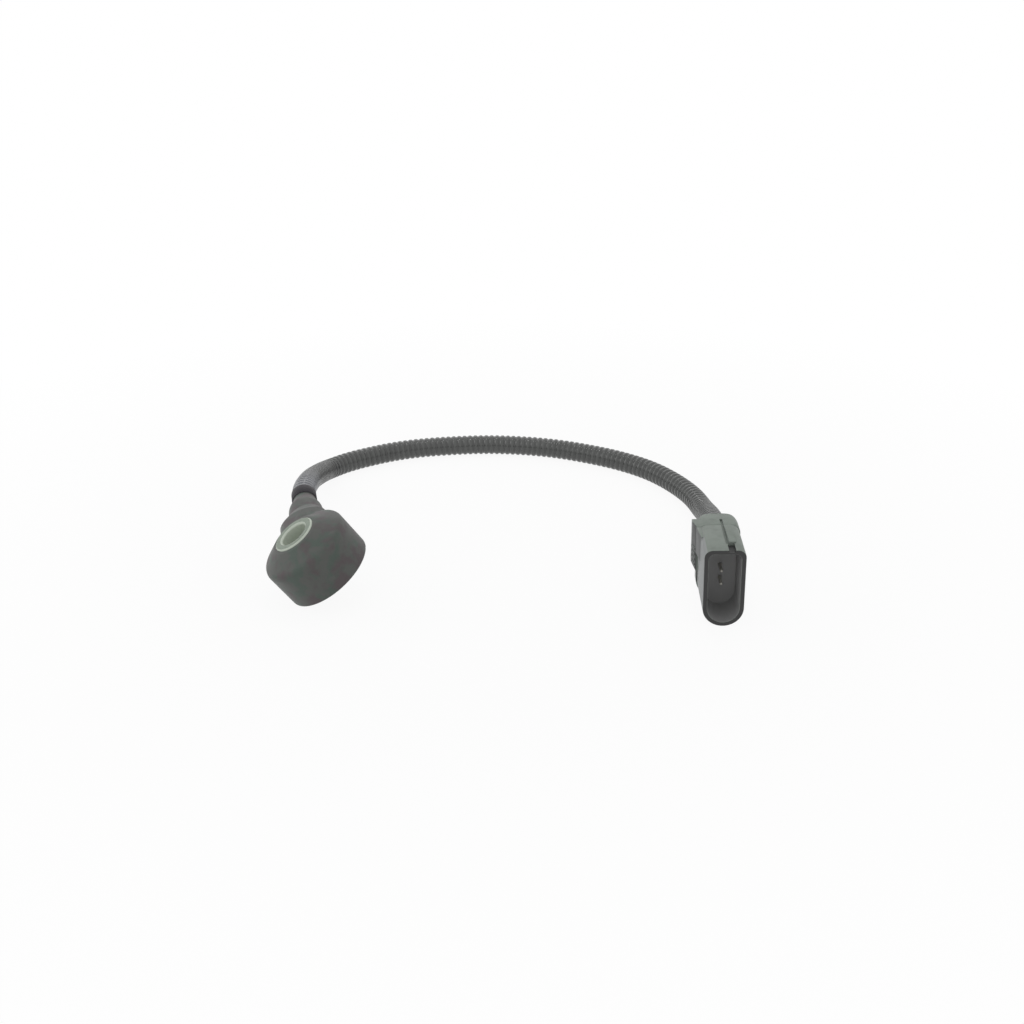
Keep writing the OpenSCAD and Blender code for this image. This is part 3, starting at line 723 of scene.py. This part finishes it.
def tangents(line):
    """The direction of a line at each of its points."""
    return [(line[min(i + 1, len(line) - 1)] - line[max(i - 1, 0)]).normalized() for i in range(len(line))]


def spaced(line, step):
    """The same line with evenly spaced points."""
    lengths = [0.0]
    for first, second in zip(line, line[1:]):
        lengths.append(lengths[-1] + (second - first).length)
    count = round(lengths[-1] / step)
    points, at = [], 0
    for i in range(count + 1):
        wanted = lengths[-1] * i / count
        while at < len(line) - 2 and lengths[at + 1] < wanted:
            at += 1
        span = lengths[at + 1] - lengths[at]
        points.append(line[at].lerp(line[at + 1], (wanted - lengths[at]) / span))
    return points


def conduit_line():
    """The conduit's centre line from the neck to the rear cover."""
    head, conduit, plug = settings().head, settings().conduit, settings().plug
    neck, back = neck_frame(), plug_frame()
    cover_rear = plug.body_len + plug.cover_len
    lead_end = head.neck_len + conduit.lead_len
    straight = (head.neck_len + MOULD_GAP, (head.neck_len + lead_end) / 2, lead_end)
    entry = (cover_rear + plug.collar_len + conduit.entry_run, cover_rear + plug.collar_len / 2,
             cover_rear - conduit.seat_len)
    knots = [neck @ Vector((0, 0, along)) for along in straight]
    knots += [Vector((x * MM, y * MM, z * MM + FLOOR_Z)) for x, y, z in CORD_ROUTE]
    knots += [back @ Vector((0, along, plug.entry_h)) for along in entry]
    return smooth_route(knots, ROUTE_STEP)


def line_length(line):
    """Length of a line of points."""
    return sum((second - first).length for first, second in zip(line, line[1:]))


def bend_along(bm, line):
    """Bends a shape drawn along +X from x = 0 so that it follows a line."""
    step = line_length(line) / (len(line) - 1)
    sides = [direction.cross(Vector((0, 0, 1))).normalized() for direction in tangents(line)]
    ups = [side.cross(direction) for side, direction in zip(sides, tangents(line))]
    for vert in bm.verts:
        place = min(max(vert.co.x / step, 0), len(line) - 1)
        i = min(int(place), len(line) - 2)
        middle, side, up = (row[i].lerp(row[i + 1], place - i) for row in (line, sides, ups))
        vert.co = middle + side * vert.co.y + up * vert.co.z


class SENSOR_OT_stage(Operator):
    """Sets the camera, lamps and pale floor"""
    bl_idname = "sensor.stage"
    bl_label = "Stage"

    def execute(self, context):
        stage = settings().stage
        scene = context.scene
        camera = bpy.data.objects.new("camera", bpy.data.cameras.new("camera"))
        camera.location = (stage.camera_x, stage.camera_y, stage.camera_z)
        camera.rotation_euler = (stage.pitch, 0, stage.yaw)
        camera.data.lens = stage.lens
        camera.data.sensor_width = 36
        camera.data.clip_start = 0.01
        scene.collection.objects.link(camera)
        scene.camera = camera
        for name, place, aim, size in LAMPS:
            self.add_lamp(name + "_lamp", place, aim, size, getattr(stage, name + "_power"))
        self.add_world(scene, stage.world)
        self.add_floor(stage)
        scene.view_settings.view_transform = "Standard"
        return {"FINISHED"}

    def add_lamp(self, name, place, aim, size, power):
        """A soft square lamp that looks at a point."""
        data = bpy.data.lights.new(name, "AREA")
        data.size = size
        data.energy = power
        lamp = bpy.data.objects.new(name, data)
        lamp.location = place
        lamp.rotation_euler = (Vector(aim) - Vector(place)).to_track_quat("-Z", "Y").to_euler()
        bpy.context.scene.collection.objects.link(lamp)

    def add_world(self, scene, strength):
        """A plain surrounding light that looks white behind the object."""
        world = bpy.data.worlds.new("surroundings")
        world.use_nodes = True
        tree = world.node_tree
        light = tree.nodes["Background"]
        light.inputs["Color"].default_value = (1, 1, 1, 1)
        light.inputs["Strength"].default_value = strength
        white = add_node(tree, "Background", {"Color": (1, 1, 1, 1)})
        look_white(tree, seen_rays(tree), light, white, "World Output")
        scene.world = world

    def add_floor(self, stage):
        """A pale floor that keeps the object's shadow and looks nearly white."""
        bm = bmesh.new()
        bmesh.ops.create_grid(bm, x_segments=1, y_segments=1, size=stage.floor_size / 2)
        bmesh.ops.translate(bm, vec=FLOOR_MIDDLE, verts=bm.verts)
        floor = to_object(bm, "floor")
        surface = Surface("pale_floor", 0.8)
        surface.shader.inputs["Base Color"].default_value = (0.86, 0.86, 0.86, 1)
        tree = surface.tree
        white = add_node(tree, "Emission", {"Strength": 1})
        distance = add_node(tree, "VectorMath", {0: surface.coords, 1: FLOOR_MIDDLE}, operation="DISTANCE")
        fade = add_node(tree, "MapRange", {
            "Value": distance.outputs["Value"], "From Min": stage.shadow_near,
            "From Max": stage.shadow_far, "To Min": stage.floor_white, "To Max": 1})
        seen = add_node(tree, "Math", {0: seen_rays(tree), 1: fade.outputs["Result"]}, operation="MULTIPLY")
        look_white(tree, seen.outputs[0], surface.shader, white, "Material Output")
        floor.data.materials.append(surface.material)


def seen_rays(tree):
    """One for rays that come from the camera, straight or off a mirror or through glass."""
    path = add_node(tree, "LightPath", {})
    total = path.outputs["Is Camera Ray"]
    for name in ("Is Glossy Ray", "Is Transmission Ray"):
        total = add_node(tree, "Math", {0: total, 1: path.outputs[name]}, operation="MAXIMUM").outputs[0]
    return total


def look_white(tree, seen, shader, white, output):
    """Shows a surface as white as far as it is seen, and lights by its own shader."""
    mix = add_node(tree, "MixShader", {0: seen, 1: shader.outputs[0], 2: white.outputs[0]})
    tree.links.new(mix.outputs[0], tree.nodes[output].inputs["Surface"])


class SENSOR_OT_conduit(Operator):
    """Makes the corrugated conduit along its route"""
    bl_idname = "sensor.conduit"
    bl_label = "Conduit"

    def execute(self, context):
        sizes = settings().conduit
        line = conduit_line()
        total = line_length(line)
        ribs = round(total / sizes.pitch)
        crest = sizes.outside_d / 2
        valley = crest - sizes.groove_t
        outer = [((i + part) * total / ribs, valley + rise * (crest - valley))
                 for i in range(ribs) for part, rise in RIB_WAVE] + [(total, valley)]
        inner = [(total * i / ribs, sizes.inside_d / 2) for i in range(ribs, -1, -1)]
        bm = bmesh.new()
        rib = bm.verts.layers.float.new("rib")
        dust = bm.verts.layers.float.new("dust")
        verts = [bm.verts.new((x, 0, radius)) for x, radius in outer + inner]
        edges = [bm.edges.new(pair) for pair in zip(verts, verts[1:] + verts[:1])]
        for vert in verts:
            # How high a vertex stands on its rib, which sets its painted shade and sheen
            vert[rib] = max(0.0, (vert.co.z - valley) / (crest - valley))
            vert[dust] = max(0.0, *(share - abs(vert.co.x - end * total) / run for end, share, run in PAINTED_SHEEN))
        bmesh.ops.spin(bm, geom=verts + edges, cent=(0, 0, 0), axis=(1, 0, 0), angle=2 * math.pi,
                       steps=sizes.sides, use_merge=True)
        finish_mesh(bm)
        bend_along(bm, line)
        piece = to_object(bm, "ribbed_conduit")
        dress(piece, 60, ribbed_plastic("conduit_plastic"), "conduit")
        riders = [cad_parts[name] for name in CORD_NODES]
        riders += [bpy.data.objects[name] for name in ("connector_shroud", "rear_cap")]
        return {"FINISHED"}


class SENSOR_OT_head(Operator):
    """Makes the moulded head with its neck"""
    bl_idname = "sensor.head"
    bl_label = "Moulded head"

    def execute(self, context):
        head, finishes = settings().head, settings().finishes
        shapes = [self.body_shape(head), self.root_shape(head), self.neck_shape(head)]
        piece = to_object(joined(shapes), "head_moulding")
        blend_together(piece, head.skin_grain, 3)
        cut_away(piece, self.stack_space(head))
        piece.data.transform(head_frame())
        patches = [finishes.moulding_green, finishes.moulding_warm]
        dress(piece, 50, plastic("head_plastic", finishes.moulding, patches), "sensor_housing")
        return {"FINISHED"}

    def body_shape(self, head):
        """The round body with its rounded rim and cone."""
        foot = (head.housing_d / 2, head.housing_bottom)
        rim = (head.housing_d / 2, head.rim_h)
        land = (head.land_d / 2, head.land_h)
        outline = [(0, head.housing_bottom), foot, rim, land, (0, head.land_h)]
        return spun(rounded_profile(outline, {rim: head.rim_round * 0.57, foot: head.edge_break}))

    def root_shape(self, head):
        """The square root of the neck, turned down round its far end."""
        half_w = head.root_w / 2
        half_h = head.land_h - head.neck_h
        corners = [(-half_w, -half_h), (half_w, -half_h), (half_w, half_h), (-half_w, half_h)]
        outline = rounded_profile(corners, {corner: head.root_corner for corner in corners}, 6)
        far = head.root_len + head.shoulder_len
        bm = prism(outline, 0, far)
        bmesh.ops.translate(bm, verts=bm.verts, vec=(0, 0, head.neck_h))
        root = to_object(bm, "root")
        reach = math.hypot(half_w, half_h) - head.root_trim
        start = head.neck_start_d / 2
        # Its far end stays just inside the neck, which covers it
        limit = spun([(0, -CUT), (reach, -CUT), (reach, head.root_len - head.root_fade),
                      (start * 0.9, head.root_len), (start * 0.87, far), (0, far)])
        bmesh.ops.scale(limit, vec=(head.flat, 1, 1), verts=limit.verts)
        bmesh.ops.transform(limit, matrix=along_neck(), verts=limit.verts)
        combine(root, limit, "INTERSECT")
        return to_shape(root)

    def neck_shape(self, head):
        """The round neck that eases down to its end, and the spigot for the conduit."""
        start, end = head.neck_start_d / 2, head.neck_end_d / 2
        taper_y = head.root_len + head.shoulder_len
        taper_len = head.neck_len - taper_y - head.neck_plain
        steps = 12
        eased = [(end + (start - end) * (1 + math.cos(math.pi * i / steps)) / 2,
                  taper_y + taper_len * i / steps) for i in range(steps + 1)]
        spigot = head.passage_d / 2 + head.spigot_wall
        tip = head.neck_len + head.spigot_len
        buried = head.root_len - 2 * CUT
        outline = [(0, buried), (start, buried), *eased, (end, head.neck_len), (spigot, head.neck_len),
                   (spigot, tip), (0, tip)]
        bm = spun(outline, 64)
        bmesh.ops.transform(bm, matrix=along_neck(), verts=bm.verts)
        return bm

    def stack_space(self, head):
        """What is cut away for the sleeve, the stack and the wires."""
        flange, stack, stem = (size / 2 + MOULD_GAP for size in (head.flange_d, head.stack_d, head.stem_d))
        top = head.sleeve_h + CUT
        space = spun([(0, -CUT), (flange, -CUT), (flange, head.flange_t), (stack, head.flange_t),
                      (stack, head.stack_top), (stem, head.stack_top), (stem, top), (0, top)])
        end = head.neck_len + head.spigot_len + CUT
        return joined([space, rod(head.stack_d / 2 - CUT, end, head.passage_d, head.neck_h)])


class SENSOR_OT_sleeve(Operator):
    """Makes the turned steel sleeve"""
    bl_idname = "sensor.sleeve"
    bl_label = "Steel sleeve"

    def execute(self, context):
        head, finishes = settings().head, settings().finishes
        bore, stem, flange = head.bore_d / 2, head.stem_d / 2, head.flange_d / 2
        edge = head.flange_edge
        top, inner, outer = head.sleeve_h, head.chamfer, head.outer_chamfer
        outline = [(bore, 0), (flange - edge, 0), (flange, edge), (flange, head.flange_t),
                   (stem, head.flange_t), (stem, top - outer), (stem - outer, top), (bore + inner, top),
                   (bore, top - inner)]
        piece = to_object(spun(outline, 128), "steel_sleeve")
        round_edges(piece, head.steel_round, 2)
        # Painted highlight on the bore, the chamfers and a little on the flat top
        mark(piece, "worn", lambda centre, facing: self.painted_highlight_share(bore, centre, facing))
        piece.data.transform(head_frame())
        steel = turned_steel("sleeve_steel", finishes.steel, finishes.worn, 0.42, 0.35)
        dress(piece, 30, steel, "pressure_sleeve")
        return {"FINISHED"}

    def painted_highlight_share(self, bore, centre, facing):
        """How much painted highlight a face takes: the bore most, then the chamfers, then the flat top."""
        if math.hypot(centre.x, centre.y) < bore + 0.15 * MM:
            return 0.9
        if facing.z < 0.2:
            return 0.0
        return 0.75 if facing.z < 0.95 else 0.12


class SENSOR_OT_band(Operator):
    """Makes the dark sleeve over the conduit's end"""
    bl_idname = "sensor.band"
    bl_label = "Neck band"

    def execute(self, context):
        head, base = settings().head, settings().finishes.band
        inner = settings().conduit.outside_d / 2 + MOULD_GAP
        outer = inner + head.band_wall
        start = head.neck_len - head.band_lap
        end = start + head.band_len
        lip = head.band_lip
        bm = spun([(inner, start), (outer - lip, start), (outer, start + lip), (outer, end - 2 * lip),
                   (outer - lip, end), (inner, end)], 64)
        bmesh.ops.transform(bm, matrix=neck_frame(), verts=bm.verts)
        piece = to_object(bm, "neck_band")
        dress(piece, 50, plastic("band_plastic", base, [shade(base, 1.2)], 0.5), "neck_sleeve")
        return {"FINISHED"}


def plug_outline(width, height, corner, low=0.0):
    """The connector's outline: full round below, two rounded corners above."""
    half = width / 2
    bottom = [(-half, low), (half, low)]
    top = [(half, height), (-half, height)]
    # Just short of a full round, so that the two bottom corners stay apart
    outline = rounded_profile(bottom + top, {point: half * 0.999 for point in bottom}, 16)
    return rounded_profile(outline, {point: corner for point in top}, 7)


def inset_outline(plug, inset, play=0.0):
    """The connector's outline moved inwards all round, but for play that it gets back."""
    return plug_outline(plug.width - 2 * inset + 2 * play, plug.height - inset + play,
                        plug.corner - inset / 2, inset - play)


def top_cuts(plug):
    """The narrow groove and the recess in the connector's top."""
    top = plug.height
    groove = block((plug.groove_x, plug.groove_start, top - plug.groove_t),
                   (plug.groove_x + plug.groove_w, plug.groove_end, top + CUT))
    recess = block((recess_x(plug), -CUT, top - plug.recess_t),
                   (recess_x(plug) + plug.ramp_w, plug.recess_len, top + CUT))
    return joined([groove, recess])


def recess_x(plug):
    """The recess's left edge, at the middle of the groove."""
    return plug.groove_x + plug.groove_w / 2


class SENSOR_OT_connector(Operator):
    """Makes the connector's shroud with its socket"""
    bl_idname = "sensor.connector"
    bl_label = "Connector shroud"

    def execute(self, context):
        plug = settings().plug
        rear = plug.body_len + plug.step_len
        shroud = prism(plug_outline(plug.width, plug.height, plug.corner), 0, plug.body_len)
        piece = to_object(shroud, "connector_shroud")
        add_on(piece, prism(inset_outline(plug, plug.step), plug.body_len - CUT, rear))
        cut_away(piece, prism(inset_outline(plug, plug.wall), -CUT, plug.socket_depth))
        round_edges(piece, plug.edge)
        cut_away(piece, top_cuts(plug))
        add_on(piece, self.latch_ramp(plug), self.side_rib(plug))
        self.cut_chambers(piece, plug, rear)
        middle = Vector((0, plug.socket_depth / 2, plug.height / 2))
        left = plug.wall - plug.width / 2
        # Faces inside the opening, which take the paler painted light
        mark(piece, "inside", lambda centre, facing: float(NEAR < centre.y < plug.socket_depth + NEAR
                                                           and (centre - middle).dot(facing) < 0))
        # Painted shade on the front and on the recess in the top
        mark(piece, "dark", lambda centre, facing: self.darkness(plug, centre, facing))
        # Painted light on the left side's faces
        mark(piece, "side", lambda centre, facing: float(facing.x < -0.7 and centre.x < left))
        piece.data.transform(plug_frame())
        dress(piece, 40, connector_plastic("connector_plastic"), "connector_housing")
        return {"FINISHED"}

    def cut_chambers(self, piece, plug, rear):
        """Cuts a row of three bores for each pin, and the slot for the terminal lock."""
        box_y = plug.socket_depth + plug.web_t
        seal_y = plug.body_len + plug.seal_inset
        for side in (-1, 1):
            height = plug.pin_mid_h + side * plug.pin_pitch / 2
            cut_away(piece, rod(plug.socket_depth - CUT, box_y + CUT, plug.pin_d + SLIDE_GAP, height),
                     rod(box_y, seal_y + SLIDE_GAP, plug.chamber_d, height),
                     rod(seal_y, rear + CUT, plug.seal_bore, height))
        lock_y = box_y + plug.lock_back
        half_t = plug.lock_t / 2 + MOULD_GAP
        cut_away(piece, block((-plug.width / 2 - CUT, lock_y - MOULD_GAP, plug.pin_mid_h - half_t),
                              (plug.lock_tip + MOULD_GAP, lock_y + plug.lock_len + MOULD_GAP,
                               plug.pin_mid_h + half_t)))

    def darkness(self, plug, centre, facing):
        """How much painted shade a face takes: the front and the recess most, the rib's slope less."""
        # Painted shade on the rib's front-facing slope
        if centre.x < -plug.width / 2 and facing.y < -0.1:
            return settings().finishes.rib_painted_shade
        front = centre.y < NEAR and facing.y < -0.9
        sunk = plug.height - CUT < centre.z < plug.height - NEAR
        beside = recess_x(plug) < centre.x < recess_x(plug) + plug.ramp_w + MOULD_GAP
        return float(front or sunk and beside and centre.y < plug.recess_len)

    def latch_ramp(self, plug):
        """The ramp that the mating plug's latch rides over."""
        left = plug.groove_x + plug.groove_w + SLIDE_GAP
        top = plug.height
        bm = block((left, plug.recess_len, top - plug.groove_t),
                   (left + plug.ramp_w, plug.body_len, top + plug.ramp_rise))
        for vert in bm.verts:
            if vert.co.y > plug.recess_len + CUT and vert.co.z > top:
                vert.co.z = top
        front = [edge for edge in bm.edges if all(v.co.y < plug.recess_len + CUT for v in edge.verts)]
        return finish_mesh(bevelled(bm, front, plug.ramp_round, 4))

    def side_rib(self, plug):
        """The rib that rises along the side to meet the cover's wing."""
        half = plug.width / 2
        start = plug.body_len - plug.rib_len
        plan = [(CUT - half, start), (-half, start), (-half - plug.wing_w / 2, plug.body_len),
                (CUT - half, plug.body_len)]
        return softened(post(plan, plug.rib_low, plug.wing_high), plug.grip_round)


class SENSOR_OT_cover(Operator):
    """Makes the rear cover with its collar and ridged wing"""
    bl_idname = "sensor.cover"
    bl_label = "Rear cover"

    def execute(self, context):
        plug, conduit = settings().plug, settings().conduit
        start = plug.body_len + MOULD_GAP
        rear = plug.body_len + plug.cover_len
        collar_end = rear + plug.collar_len
        corner = plug.cover_corner
        half = plug.width / 2 + plug.cover_over
        outline = plug_outline(2 * half, plug.height, plug.corner + plug.cover_over)
        piece = to_object(prism(outline, start, rear), "rear_cap")
        plan = rounded_profile([(-half, start - CUT), (half, start - CUT), (half, rear), (-half, rear)],
                               {(half, rear): corner, (-half, rear): corner}, 10)
        combine(piece, post(plan, -CUT, plug.height + CUT), "INTERSECT")
        round_edges(piece, plug.edge * 0.8)
        collar = rod(rear - corner, collar_end, plug.collar_d, plug.entry_h, 64)
        add_on(piece, softened(collar, plug.edge), self.wing(plug, start, rear - corner / 2),
               self.ridges(plug))
        step_end = plug.body_len + plug.step_len + 2 * MOULD_GAP
        fan = block((-plug.fan_w / 2, start, plug.fan_low),
                    (plug.fan_w / 2, rear - plug.fan_wall, plug.fan_high))
        entry_d = conduit.outside_d + 2 * SLIDE_GAP
        cut_away(piece, prism(inset_outline(plug, plug.step, MOULD_GAP), start - CUT, step_end),
                 top_cuts(plug), fan,
                 rod(rear - conduit.seat_len, collar_end + CUT, entry_d, plug.entry_h, 64))
        # Painted shade on the wing's front and the ends of its ridges
        mark(piece, "dark", lambda centre, facing: self.darkness(plug, centre, facing))
        # Painted light on the cover's left-facing faces
        mark(piece, "side", lambda centre, facing: float(facing.x < -0.7))
        piece.data.transform(plug_frame())
        dress(piece, 40, connector_plastic("cover_plastic"), "rear_cover")
        return {"FINISHED"}

    def darkness(self, plug, centre, facing):
        """How much painted shade a face takes: the wing's slanting front, and the ends of its ridges a
        little.
        """
        if facing.y >= -0.1 or centre.x >= -plug.width / 2:
            return 0.0
        finishes = settings().finishes
        ridged = centre.z < (plug.wing_low + plug.wing_high) / 2
        return finishes.ridge_painted_shade if ridged and abs(facing.z) > 0.1 else finishes.wing_painted_shade

    def wing(self, plug, front, rear):
        """The finger grip on the side, with its slanting front and chamfered lower end."""
        half = plug.width / 2
        outer = -half - plug.wing_w
        low = plug.wing_low - plug.wing_w
        plan = [(CUT - half, front), (outer + plug.wing_w / 2, front), (outer, plug.body_len + plug.wing_run),
                (outer, rear), (CUT - half, rear)]
        wing = to_object(post(plan, low, plug.wing_high), "wing")
        face = [(CUT - half, low), (-half, low), (outer, plug.wing_low), (outer, plug.wing_high),
                (CUT - half, plug.wing_high)]
        combine(wing, prism(face, front - CUT, rear + CUT), "INTERSECT")
        round_edges(wing, plug.grip_round, 2)
        return to_shape(wing)

    def ridges(self, plug):
        """The grip ridges on the lower half of the wing's front edge."""
        outer = -plug.width / 2 - plug.wing_w
        near = Vector((outer + plug.wing_w / 2, plug.body_len + MOULD_GAP))
        tip = Vector((outer, plug.body_len + plug.wing_run))
        along = (tip - near).normalized()
        out = Vector((-along.y, along.x)) * plug.ridge_t / 2
        deep = Vector((plug.ridge_inset, 0))
        # A little past the wing's inner corner
        begin = near + along * 0.3 * MM
        plan = [begin + out, tip + out, tip + deep, begin + deep]
        count = int((plug.wing_high - plug.wing_low) / 2 / plug.ridge_pitch)
        lows = [plug.wing_low + plug.ridge_inset + i * plug.ridge_pitch for i in range(count)]
        return joined([softened(post(plan, low, low + plug.ridge_pitch / 2), 0.1 * MM) for low in lows])


class SENSOR_OT_inner(Operator):
    """Gives the inner pieces their finishes"""
    bl_idname = "sensor.inner"
    bl_label = "Inner pieces"

    def execute(self, context):
        finishes = settings().finishes
        film = plain("insulating_film", finishes.film, 0.5)
        brass = plain("contact_brass", finishes.brass, 0.35, 1.0)
        steel = turned_steel("stack_steel", shade(finishes.steel, 1.5), finishes.worn)
        tin = plain("tinned_brass", finishes.tin, 0.35, 0.45, 0.2)
        seal = plain("seal_rubber", finishes.seal, 0.65)
        looks = {
            "lower_insulator": film, "upper_insulator": film, "insulating_tube": film,
            "lower_contact": brass, "upper_contact": brass,
            "piezo_ring": plain("piezo_ceramic", finishes.ceramic, 0.55),
            "seismic_mass": steel, "disc_spring": steel, "clamp_nut": steel,
            "terminal_upper": tin, "terminal_lower": tin,
            "terminal_lock": connector_plastic("lock_plastic"),
            "seal_upper": seal, "seal_lower": seal,
            "signal_wire": plain("light_insulation", finishes.wire_light, 0.5),
            "ground_wire": plain("dark_insulation", finishes.wire_dark, 0.5),
        }
        for name, material in looks.items():
            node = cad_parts[name]
            node.data.materials.clear()
            node.data.materials.append(material)
        return {"FINISHED"}


OPERATORS = (SENSOR_OT_stage, SENSOR_OT_connector, SENSOR_OT_cover, SENSOR_OT_conduit, SENSOR_OT_head,
             SENSOR_OT_sleeve, SENSOR_OT_band, SENSOR_OT_inner)


class SENSOR_PT_panel(Panel):
    """Lists the sensor's pieces and sizes"""
    bl_label = "Knock sensor"
    bl_idname = "SENSOR_PT_panel"
    bl_space_type = "VIEW_3D"
    bl_region_type = "UI"
    bl_category = "Sensor"

    def draw(self, context):
        for operator in OPERATORS:
            self.layout.operator(operator.bl_idname)
        for name in SensorSettings.__annotations__:
            group = getattr(context.scene.sensor, name)
            box = self.layout.box()
            box.label(text=name.capitalize())
            for size in type(group).__annotations__:
                box.prop(group, size)


GROUPS = (HeadSizes, ConduitSizes, PlugSizes, Finishes, StageSettings, SensorSettings)


def register():
    for cls in GROUPS + OPERATORS + (SENSOR_PT_panel,):
        bpy.utils.register_class(cls)
    bpy.types.Scene.sensor = PointerProperty(type=SensorSettings)


def unregister():
    del bpy.types.Scene.sensor
    for cls in reversed(GROUPS + OPERATORS + (SENSOR_PT_panel,)):
        bpy.utils.unregister_class(cls)


def main():
    """Builds every piece in order."""
    register()
    for operator in OPERATORS:
        group, name = operator.bl_idname.split(".")
        getattr(getattr(bpy.ops, group), name)()


if __name__ == "__main__":
    main()
